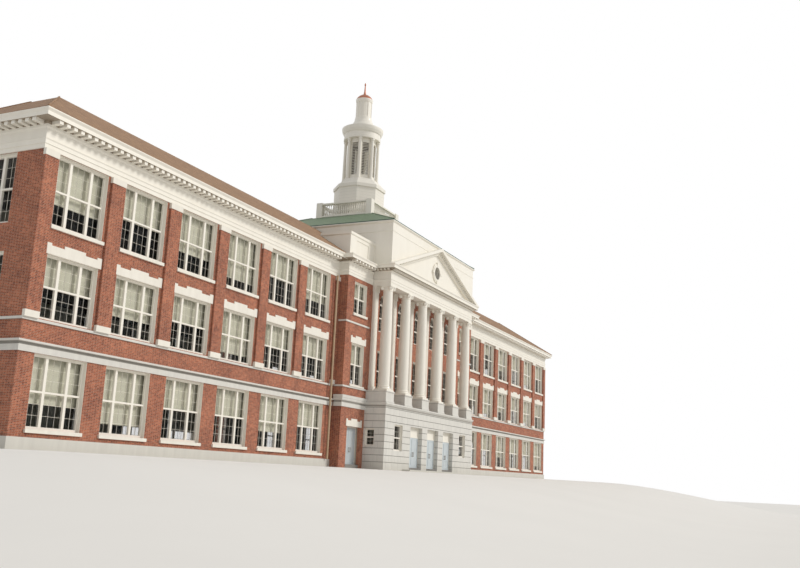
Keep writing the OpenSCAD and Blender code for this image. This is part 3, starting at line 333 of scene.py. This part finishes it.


# Oil paint on planed softwood, cream white, slightly weathered. Painted shade darkens a band of heights,
# such as the one behind a row of cornice blocks, and darker painted shade fills the inside of the drum
def painted_woodwork(name, shaded_band=None):
    material, tree, shader = new_material(name, "#EFEAE0", 0.5, Coat_Weight=0.1)
    point = surface_point(tree)
    height = height_at(tree, point)
    colour = laid_over(tree, "#E6E1D5", "#F3EFE5", stains(tree, point, 1.6, stretch=(2.0, 2.0, 0.6)))
    # Painted shade behind the cornice blocks, in the band of heights given
    if shaded_band:
        colour = laid_over(tree, colour, "#8A7862", level_zone(tree, height, *shaded_band), 0.85)
    # Painted shade on the woodwork inside the drum
    colour = laid_over(tree, colour, "#4A3B32", in_drum(tree, point, height))
    brush = stains(tree, point, 25.0, 2.0, (1.0, 1.0, 3.0))
    dress(tree, shader, colour, brush, 1, 0.15)
    return material


# The same paint on flush boards, whose joints show as fine level lines
def painted_boards():
    board, board_joint = 130, 7
    material, tree, shader = new_material("Painted_boards", "#E9E4DA", 0.55)
    point = surface_point(tree)
    height = height_at(tree, point)
    colour = laid_over(tree, "#E2DDD2", "#F0ECE2", stains(tree, point, 1.6, stretch=(2.0, 2.0, 0.6)))
    line = joint(tree, height, board, board_joint)
    colour = laid_over(tree, colour, "#8F8B86", line, 0.3)
    relief = add(tree, "Math", (line, -1.0, 1.0), operation="MULTIPLY_ADD")
    dress(tree, shader, colour, relief, 2, 0.5)
    return material


# Masonry paint, a thick matt cream coat on the cast stone of the sills and lintels
def masonry_paint():
    material, tree, shader = new_material("Masonry_paint", "#E8E3D8", 0.75)
    point = surface_point(tree)
    colour = laid_over(tree, "#DCD7CC", "#F0ECE2", stains(tree, point, 2.2, stretch=(3.0, 3.0, 0.8)))
    dress(tree, shader, colour, stains(tree, point, 40.0, 2.0), 1, 0.3)
    return material


# Float glass over unlit rooms: dark, see-through and glossy, very slightly rippled
def window_glass():
    material, tree, shader = new_material("Float_glass", "#20272A", 0.04, IOR=1.52, Alpha=0.1)
    dress(tree, shader, relief=stains(tree, surface_point(tree), 3.0, 1.0), depth=4, strength=0.2)
    return material


# Cast concrete floors, grey and faintly clouded
def cast_concrete():
    material, tree, shader = new_material("Cast_concrete", "#7E7B76", 0.9)
    dress(tree, shader, laid_over(tree, "#6E6B67", "#8E8B86", stains(tree, surface_point(tree), 2.0)))
    return material


# Split brown slate laid in courses, each slate a little different. The flat top of the roof has none
def roofing_slate():
    rise, slate_w, slate_gap, tail_shade = 54, 125, 6, 0.14
    material, tree, shader = new_material("Split_slate", "#8C6A4C", 0.8)
    point, along, height = place(tree)
    row_number, in_row, odd = courses(tree, height, rise)
    shifted = add(tree, "Math", (odd, slate_w / 2 * MM, along), operation="MULTIPLY_ADD")
    column = add(tree, "Math", (shifted, slate_w * MM), operation="DIVIDE")
    column = add(tree, "Math", (column,), operation="FLOOR")
    slate = add(tree, "CombineXYZ", (column, row_number, 0.0))
    tone = add(tree, "TexWhiteNoise", (slate,), noise_dimensions="2D")
    colour = laid_over(tree, "#79593E", "#A07C5A", tone)
    cloud = laid_over(tree, "#73543A", "#A9845F", stains(tree, point, 0.8))
    colour = laid_over(tree, colour, cloud, 0.4)
    shade = add(tree, "Math", (in_row, tail_shade), operation="LESS_THAN")
    gap = joint(tree, shifted, slate_w, slate_gap)
    lines = add(tree, "Math", (shade, gap), operation="MAXIMUM")
    colour = laid_over(tree, colour, "#3F2F26", lines, 0.5)
    deck = add(tree, "Math", (height, (DECK_Z - 3) * MM), operation="GREATER_THAN")
    colour = laid_over(tree, colour, "#7A6A5A", deck)
    lap = add(tree, "Math", (in_row, -1.0, 1.0), operation="MULTIPLY_ADD")
    lap = add(tree, "Math", (gap, -0.5, lap), operation="MULTIPLY_ADD")
    dress(tree, shader, colour, lap, 6)
    return material


# Sheet copper with old green patina in long trays between standing seams, darker at the eaves
def green_copper():
    tray, seam_w, eaves_h = 225, 16, 45
    material, tree, shader = new_material("Patinated_copper", "#6A8266", 0.7, Metallic=0.2)
    point, along, height = place(tree)
    colour = laid_over(tree, "#536650", "#7C8D6F", stains(tree, point, 1.5, stretch=(4.0, 4.0, 0.7)))
    eaves = level_zone(tree, height, ATTIC_EAVES - 5, ATTIC_EAVES + eaves_h)
    colour = laid_over(tree, colour, "#2F4D48", eaves, 0.8)
    seam = joint(tree, along, tray, seam_w)
    colour = laid_over(tree, colour, "#44594B", seam, 0.5)
    dress(tree, shader, colour, seam, 20)
    return material


# Sheet copper gone brown, with paler worn patches
def brown_copper():
    material, tree, shader = new_material("Brown_copper", "#A8664E", 0.45, Metallic=0.55)
    dress(tree, shader, laid_over(tree, "#8C4F3B", "#C28467", stains(tree, surface_point(tree), 5.0)))
    return material


# Alkyd paint on panelled doors, a pale blue-grey with a low sheen and upright brush marks
def door_paint():
    material, tree, shader = new_material("Door_paint", "#C3CCD0", 0.4, Coat_Weight=0.2)
    point = surface_point(tree)
    colour = laid_over(tree, "#B4BEC3", "#CED6D9", stains(tree, point, 3.0))
    dress(tree, shader, colour, stains(tree, point, 25.0, 2.0, (9.0, 9.0, 1.0)), 1, 0.3)
    return material


# Painted sheet metal of the rainwater pipes, with a raised band at each joint
def pipe_paint():
    band_step, band_h = 900, 30
    material, tree, shader = new_material("Pipe_paint", "#B79F80", 0.5, Metallic=0.1)
    point = surface_point(tree)
    height = height_at(tree, point)
    colour = laid_over(tree, "#A58C6E", "#C4AD8F", stains(tree, point, 2.0))
    dress(tree, shader, colour, joint(tree, height, band_step, band_h), 6)
    return material


# Woven roller blinds of cream cotton, with a green cast. The weave is drawn coarse enough to show
def blind_cloth():
    thread_step, thread_h = 20, 6
    material, tree, shader = new_material("Blind_cloth", "#E6E4CE", 0.95)
    point = surface_point(tree)
    height = height_at(tree, point)
    colour = laid_over(tree, "#DEDCC4", "#EFEEDC", stains(tree, point, 1.2, stretch=(4.0, 4.0, 0.4)))
    dress(tree, shader, colour, joint(tree, height, thread_step, thread_h), 1, 0.4)
    return material


# Cast bronze of the door handles, gone dull
def cast_bronze():
    material, tree, shader = new_material("Cast_bronze", "#6B5338", 0.4, Metallic=1.0)
    dress(tree, shader, laid_over(tree, "#54402B", "#80654A", stains(tree, surface_point(tree), 30.0)))
    return material


# Paper of the studio floor, pale and nearly even
def studio_paper():
    material, tree, shader = new_material("Studio_floor", "#E6E4E0", 0.9)
    dress(tree, shader, laid_over(tree, "#E3E1DD", "#E9E7E3", stains(tree, surface_point(tree), 0.3)))
    return material


finish = {
    "brick": facing_brick(),
    "stone": limestone(),
    "white_woodwork": painted_woodwork("Painted_softwood"),
    "window_glass": window_glass(),
    "concrete": cast_concrete(),
    "slate": roofing_slate(),
    "green_copper": green_copper(),
    "brown_copper": brown_copper(),
    "door_paint": door_paint(),
    "pipe_metal": pipe_paint(),
}


# Every CAD node takes the finish of its slot, and a few have a coat of their own
def coat_nodes():
    coats = {"cupola_base": painted_boards(), "window_sills": masonry_paint()}
    for name, zone in BLOCK_ZONES.items():
        coats[name] = painted_woodwork("Painted_" + name, zone)
    slot_of = {part["node"]: part["material_slot"] for part in frame["record"]["subparts"]}
    for name, node in nodes.items():
        for slot in node.material_slots:
            slot.material = coats.get(name, finish[slot_of[name]])


# Making and placing pieces
def deselect():
    bpy.ops.object.select_all(action="DESELECT")


def select_only(piece):
    deselect()
    piece.select_set(True)
    bpy.context.view_layer.objects.active = piece


def apply_modifiers(piece):
    select_only(piece)
    for modifier in list(piece.modifiers):
        bpy.ops.object.modifier_apply(modifier=modifier.name)


def soften(piece, edge, segments):
    bevel = piece.modifiers.new("edge", "BEVEL")
    bevel.width = edge * MM
    bevel.segments = segments
    apply_modifiers(piece)
    return piece


# A straight bar with softened edges, centred on the origin
def soft_bar(size, edge, segments=1):
    deselect()
    bpy.ops.mesh.primitive_cube_add(size=1, location=(0, 0, 0))
    bar = bpy.context.object
    bar.scale = tuple(length * MM for length in size)
    bpy.ops.object.transform_apply(scale=True)
    return soften(bar, edge, segments)


# A flat grid that stands in the plane of a front wall
def upright_grid(x0, x1, z0, z1, y, columns, rows):
    deselect()
    bpy.ops.mesh.primitive_grid_add(x_subdivisions=columns, y_subdivisions=rows, size=1,
                                    location=((x0 + x1) / 2 * MM, y * MM, (z0 + z1) / 2 * MM),
                                    rotation=(math.pi / 2, 0, 0))
    piece = bpy.context.object
    piece.scale = ((x1 - x0) * MM, (z1 - z0) * MM, 1)
    bpy.ops.object.transform_apply(location=True, rotation=True, scale=True)
    return piece


# Turns a piece about the upright axis, moves it, and mirrors it to the building's other side if asked
def put(piece, move, turn=0.0, mirror=False):
    matrix = Matrix.Translation(Vector(move) * MM) @ Matrix.Rotation(turn, 4, "Z")
    if mirror:
        matrix = Matrix.Scale(-1, 4, (1, 0, 0)) @ matrix
    piece.data.transform(matrix)
    if mirror:
        piece.data.flip_normals()
    return piece


def copy_of(piece):
    twin = piece.copy()
    twin.data = piece.data.copy()
    bpy.context.collection.objects.link(twin)
    return twin


def join(pieces):
    if len(pieces) == 1:
        return pieces[0]
    deselect()
    for piece in pieces:
        piece.select_set(True)
    bpy.context.view_layer.objects.active = pieces[0]
    bpy.ops.object.join()
    return pieces[0]


# Copies of one piece at each place in its list, joined. The piece itself is used up
def spread(unit, places):
    copies = [put(copy_of(unit), move, turn, mirror) for move, turn, mirror in places]
    bpy.data.objects.remove(unit)
    return join(copies)


def on_both_sides(moves, turn=0.0):
    return [(move, turn, mirror) for move in moves for mirror in (False, True)]


# Names a finished piece and fixes it to the body that carries it
def settle(piece, name, slot, material=None, body="building"):
    select_only(piece)
    bpy.ops.object.transform_apply(location=True, rotation=True, scale=True)
    piece.name = name
    piece.data.name = name
    piece.data.materials.clear()
    piece.data.materials.append(material or finish[slot])
    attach(piece, body)


# Window bars: a grid of lights turned into square bars, and the spokes of the fanlights
BAR = 13
BAR_EDGE = 2
SPOKE_ANGLES = (45, 90, 135)


def light_bars(x0, x1, z0, z1, columns, rows):
    piece = upright_grid(x0, x1, z0, z1, BARS_Y, columns, rows)
    wire = piece.modifiers.new("bars", "WIREFRAME")
    wire.thickness = BAR * MM
    wire.use_even_offset = False
    apply_modifiers(piece)
    return piece


# Bars of one window with an upper and a lower sash. Its parts share the width as their numbers say, and
# each has as many lights across as the next list says
def window_bars(width, sill, head, parts=(1,), lights=(4,), rows=LIGHT_ROWS):
    inner = width - 2 * FRAME_W - (len(parts) - 1) * MULLION_W
    middle = (sill + head) / 2
    light_h = (head - sill) / 2 - FRAME_W - RAIL_W / 2
    pieces = []
    x = -width / 2 + FRAME_W
    for part, columns in zip(parts, lights):
        pane = inner * part / sum(parts)
        for foot in (sill + FRAME_W, middle + RAIL_W / 2):
            pieces.append(light_bars(x, x + pane, foot, foot + light_h, columns, rows))
        x += pane + MULLION_W
    return join(pieces)


# Spokes of the fanlight in a round-headed window that springs at height z
def fan_bars(z):
    radius = PORT_WIN_W / 2 - FRAME_W
    bars = []
    for angle in SPOKE_ANGLES:
        bar = soft_bar((radius, BAR, BAR), BAR_EDGE)
        bar.data.transform(Matrix.Translation((0, BARS_Y * MM, z * MM))
                           @ Matrix.Rotation(-math.radians(angle), 4, "Y")
                           @ Matrix.Translation((radius / 2 * MM, 0, 0)))
        bars.append(bar)
    return join(bars)


def storey_bars(storey, sill, head):
    unit = window_bars(TRIPLE_W, sill, head, TRIPLE_PARTS, TRIPLE_LIGHTS)
    fronts = on_both_sides([(x, 0, 0) for x in BAY_XS])
    rears = on_both_sides([(x, DEPTH, 0) for x in BAY_XS], math.pi)
    ends = on_both_sides([(-WING_X, MID_Y + k * BAY, 0) for k in (-0.5, 0.5)], -math.pi / 2)
    settle(spread(copy_of(unit), fronts), storey + "_front_bars", "white_woodwork")
    settle(spread(unit, rears + ends), storey + "_rear_bars", "white_woodwork")
    places = [((x, REAR_Y, 0), math.pi, False) for x in GAPS]
    places += on_both_sides([(-FLANK_MID, DEPTH, 0)], math.pi)
    settle(spread(window_bars(PORT_WIN_W, sill, head), places), storey + "_narrow_bars", "white_woodwork")


def centre_bars():
    bars = []
    for sill, head in FLANK_ROWS:
        unit = window_bars(FLANK_WIN_W, sill, head, (2, 2), (2, 2))
        bars.append(spread(unit, on_both_sides([(-FLANK_MID, FACE, 0)])))
    portico = [((x, FACE, 0), 0.0, False) for x in GAPS]
    for sill, head in PORT_ROWS:
        bars.append(spread(window_bars(PORT_WIN_W, sill, head), portico))
    bars.append(spread(fan_bars(PORT_ROWS[1][1]), portico))
    unit = window_bars(BASE_WIN_W, *BASE_ROW, lights=(3,), rows=2)
    bars.append(spread(unit, on_both_sides([(GAPS[0], BASE_FACE, 0)])))
    unit = window_bars(SIDE_WIN_YS[1] - SIDE_WIN_YS[0], *SIDE_WIN_ROW, lights=(2,), rows=2)
    bars.append(spread(unit, on_both_sides([(-BASE_X, sum(SIDE_WIN_YS) / 2, 0)], -math.pi / 2)))
    settle(join(bars), "centre_bars", "white_woodwork")


# Roller blinds behind the glass, drawn down to different heights: a drop is a share of the window's height.
# The front of the left wing and the flanks have drops of their own, and chance takes the others from a list
BLIND_BEHIND = WALL + 26
BLIND_LAP = 20
BLIND_T = 2
# The cloth waves a little: the width of its flat strips, the height of a wave and its radians in a metre
STRIP_W = 60
WAVE_H = 1.5
WAVE_TURN = 40
LEFT_DROPS = ((0.5, 0.68, 0.5, 0.5, 0.83, 0.66),
              (0.5, 0.5, 0.83, 0.5, 0.66, 0.5),
              (0.66, 0.5, 0.8, 0.66, 0.5, 0.66))
FLANK_DROPS = (0.5, 0.5)
RIGHT_CHOICE = (0.5, 0.5, 0.33, 0.66, 0.83)
REAR_CHOICE = (0.66, 0.83, 0.95)


# A blind that hangs nearly flat, with a slight wave across it
def blind(width, foot, head):
    x0 = -width / 2 - BLIND_LAP
    x1 = width / 2 + BLIND_LAP
    strips = round((x1 - x0) / STRIP_W)
    piece = upright_grid(x0, x1, foot, head + BLIND_LAP, BLIND_BEHIND, strips, 1)
    for vertex in piece.data.vertices:
        vertex.co.y += WAVE_H * MM * math.sin((vertex.co.x - x0 * MM) * WAVE_TURN)
    skin = piece.modifiers.new("cloth", "SOLIDIFY")
    skin.thickness = BLIND_T * MM
    skin.offset = 0
    apply_modifiers(piece)
    return piece


# Blinds of one wall, with the xs counted to the right as seen from outside it
def row_of_blinds(xs, width, sill, head, drops, wall_y, turn=0.0):
    return [put(blind(width, head - drop * (head - sill), head), (x * math.cos(turn), wall_y, 0), turn)
            for x, drop in zip(xs, drops)]


def window_blinds():
    random.seed(7)
    right_xs = [-x for x in BAY_XS]
    pieces = []
    for sill, head, left in zip(SILLS, HEADS, LEFT_DROPS):
        right = [random.choice(RIGHT_CHOICE) for _ in right_xs]
        rear = [random.choice(REAR_CHOICE) for _ in BAY_XS + right_xs]
        pieces += row_of_blinds(BAY_XS, TRIPLE_W, sill, head, left, 0)
        pieces += row_of_blinds(right_xs, TRIPLE_W, sill, head, right, 0)
        pieces += row_of_blinds(BAY_XS + right_xs, TRIPLE_W, sill, head, rear, DEPTH, math.pi)
    for sill, head in FLANK_ROWS:
        pieces += row_of_blinds((-FLANK_MID, FLANK_MID), FLANK_WIN_W, sill, head, FLANK_DROPS, FACE)
    settle(join(pieces), "window_blinds", "white_woodwork", blind_cloth())


# Louvres in the eight openings of the cupola, tilted to shed rain: their length, depth and thickness
LOUVRE = (290, 70, 9)
LOUVRE_EDGE = 2
LOUVRE_TILT = 38
LOUVRE_PITCH = 72
LOUVRES = 20
OPENINGS = 8
LOUVRE_IN = 40
LOUVRE_FOOT = DRUM_FOOT + 0.1 * DRUM_H + 40


def cupola_louvres():
    slats = soft_bar(LOUVRE, LOUVRE_EDGE)
    slats.data.transform(Matrix.Translation((0, -(DRUM_R - LOUVRE_IN) * MM, LOUVRE_FOOT * MM))
                         @ Matrix.Rotation(math.radians(LOUVRE_TILT), 4, "X"))
    stack = slats.modifiers.new("stack", "ARRAY")
    stack.use_relative_offset = False
    stack.use_constant_offset = True
    stack.constant_offset_displace = (0, 0, LOUVRE_PITCH * MM)
    stack.count = LOUVRES
    apply_modifiers(slats)
    openings = [((0, MID_Y, 0), math.tau * i / OPENINGS, False) for i in range(OPENINGS)]
    settle(spread(slats, openings), "cupola_louvres", "white_woodwork")


# Bow handles of the doors: an upright grip on two short feet, whose places are shares of its height
HANDLE_H = 170
HANDLE_R = 7
HANDLE_OFF = 26
HANDLE_IN = 45
HANDLE_Z = 640
HANDLE_FEET = (-0.38, 0.38)


def rod(middle, length, turn):
    deselect()
    bpy.ops.mesh.primitive_cylinder_add(vertices=12, radius=HANDLE_R * MM, depth=length * MM,
                                        location=tuple(c * MM for c in middle), rotation=(turn, 0, 0))
    return soften(bpy.context.object, 0.3 * HANDLE_R, 2)


def bow_handle(x, y, z):
    grip = rod((x, y - HANDLE_OFF, z), HANDLE_H, 0.0)
    feet = [rod((x, y - HANDLE_OFF / 2, z + part * HANDLE_H), HANDLE_OFF, math.pi / 2)
            for part in HANDLE_FEET]
    return join([grip] + feet)


def door_handles():
    bronze = cast_bronze()
    for name in nodes:
        if name.endswith("_leaf"):
            low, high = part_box(name)
            x = high[0] / MM - HANDLE_IN if "left" in name else low[0] / MM + HANDLE_IN
            handle = bow_handle(x, low[1] / MM, HANDLE_Z)
            settle(handle, name.replace("_leaf", "_handle"), "brown_copper", bronze, name)


# Rolls of sheet metal over the hips of the roofs, from just above the eaves to the corners of the flat top.
# The flat top of a wing roof is DECK_IN behind the walls, and that of the attic ATTIC_HEAD from the middle
ROLL_T = 46
WING_ROLL_UP = 20
ATTIC_ROLL_UP = 30
DECK_IN = 2180
ATTIC_HEAD = 1400


def hip_roll(foot, head):
    foot, head = Vector(foot), Vector(head)
    run = head - foot
    bar = soft_bar((run.length, ROLL_T, ROLL_T), 0.4 * ROLL_T, 2)
    turn = run.to_track_quat("X", "Z").to_matrix().to_4x4()
    bar.data.transform(Matrix.Translation((foot + head) / 2 * MM) @ turn)
    return spread(bar, on_both_sides([(0, 0, 0)]))


def wing_hip_rolls():
    foot_x = edge_of("wing_roofs", LOW, X)
    foot_z = edge_of("wing_roofs", LOW, Z) + WING_ROLL_UP
    hips = [hip_roll((foot_x, edge_of("wing_roofs", end, Y), foot_z), (DECK_IN - WING_X, head_y, DECK_Z))
            for end, head_y in ((LOW, DECK_IN), (HIGH, DEPTH - DECK_IN))]
    settle(join(hips), "wing_hip_rolls", "slate")


def attic_hip_rolls():
    foot_x = edge_of("attic_roof", LOW, X)
    foot_z = ATTIC_EAVES + ATTIC_ROLL_UP
    top = edge_of("attic_roof", HIGH, Z)
    hips = [hip_roll((foot_x, edge_of("attic_roof", end, Y), foot_z), (-ATTIC_HEAD, head_y, top))
            for end, head_y in ((LOW, MID_Y - ATTIC_HEAD), (HIGH, MID_Y + ATTIC_HEAD))]
    settle(join(hips), "attic_hip_rolls", "green_copper")


# Camera: its place in metres, its lens, and its heading, rise and tilt in degrees
CAMERA_AT = (-32.819, -15.221, -0.152)
CAMERA_LENS = 40.669
CAMERA_TURNS = (64.381, 11.969, 2.619)


def photo_camera():
    heading, rise, tilt = (math.radians(angle) for angle in CAMERA_TURNS)
    ahead = Vector((math.sin(heading), math.cos(heading), 0))
    forward = ahead * math.cos(rise) + Vector((0, 0, math.sin(rise)))
    right = Vector((math.cos(heading), -math.sin(heading), 0))
    up = right.cross(forward)
    tilted_right = math.cos(tilt) * right + math.sin(tilt) * up
    tilted_up = math.cos(tilt) * up - math.sin(tilt) * right
    turn = Matrix((tilted_right, tilted_up, -forward)).transposed()
    data = bpy.data.cameras.new("camera")
    data.lens = CAMERA_LENS
    data.sensor_width = 36
    data.clip_end = 500
    camera = bpy.data.objects.new("camera", data)
    camera.matrix_world = Matrix.Translation(CAMERA_AT) @ turn.to_4x4()
    bpy.context.collection.objects.link(camera)
    bpy.context.scene.camera = camera


# Studio floor in metres: level under the building and a little past it, then sinking, because the photo's
# camera stands lower than the building's foot
FLOOR = 160
FLOOR_MIDDLE = (0, 2, 0)
LEVEL_X = 21
LEVEL_YS = (-2.5, 8)
LEVEL_PAST = 0.5
SLOPE = 12
SINK = 1.35


def studio_floor():
    deselect()
    bpy.ops.mesh.primitive_grid_add(x_subdivisions=FLOOR, y_subdivisions=FLOOR, size=FLOOR,
                                    location=FLOOR_MIDDLE)
    floor = bpy.context.object
    bpy.ops.object.transform_apply(location=True)
    for vertex in floor.data.vertices:
        away_x = max(0, abs(vertex.co.x) - LEVEL_X)
        away_y = max(0, LEVEL_YS[0] - vertex.co.y, vertex.co.y - LEVEL_YS[1])
        fall = min(1, max(0, (math.hypot(away_x, away_y) - LEVEL_PAST) / SLOPE))
        vertex.co.z = -SINK * fall * fall * (3 - 2 * fall)
    floor.name = "studio_floor"
    bpy.ops.object.shade_smooth()
    floor.data.materials.append(studio_paper())


# A pale surround, stronger by SURROUND_SEEN where it is seen or mirrored, and a soft warm lamp
SURROUND_LIGHT = 0.55
SURROUND_SEEN = 0.45
LAMP_WAY = (-0.42, 0.72, -0.55)
LAMP_POWER = 1.9
LAMP_SPREAD = 14
LAMP_COLOUR = (1.0, 0.97, 0.92)


def studio_light():
    world = bpy.data.worlds.new("studio")
    bpy.context.scene.world = world
    world.use_nodes = True
    tree = world.node_tree
    tree.nodes.clear()
    seen = 0.0
    for ray in ("Is Camera Ray", "Is Glossy Ray", "Is Transmission Ray"):
        seen = add(tree, "Math", (seen, add(tree, "LightPath", out=ray)), operation="MAXIMUM")
    strength = add(tree, "Math", (seen, SURROUND_SEEN, SURROUND_LIGHT), operation="MULTIPLY_ADD")
    surround = add(tree, "Background", {"Color": (1, 1, 1, 1), "Strength": strength})
    add(tree, "OutputWorld", (surround,), out=None)
    data = bpy.data.lights.new("key", "SUN")
    data.energy = LAMP_POWER
    data.angle = math.radians(LAMP_SPREAD)
    data.color = LAMP_COLOUR
    lamp = bpy.data.objects.new("key", data)
    lamp.rotation_euler = Vector(LAMP_WAY).to_track_quat("-Z", "Y").to_euler()
    bpy.context.collection.objects.link(lamp)


coat_nodes()
for storey, sill, head in zip(STOREYS, SILLS, HEADS):
    storey_bars(storey, sill, head)
centre_bars()
window_blinds()
cupola_louvres()
door_handles()
wing_hip_rolls()
attic_hip_rolls()
photo_camera()
studio_floor()
studio_light()
bpy.context.scene.view_settings.view_transform = "Standard"
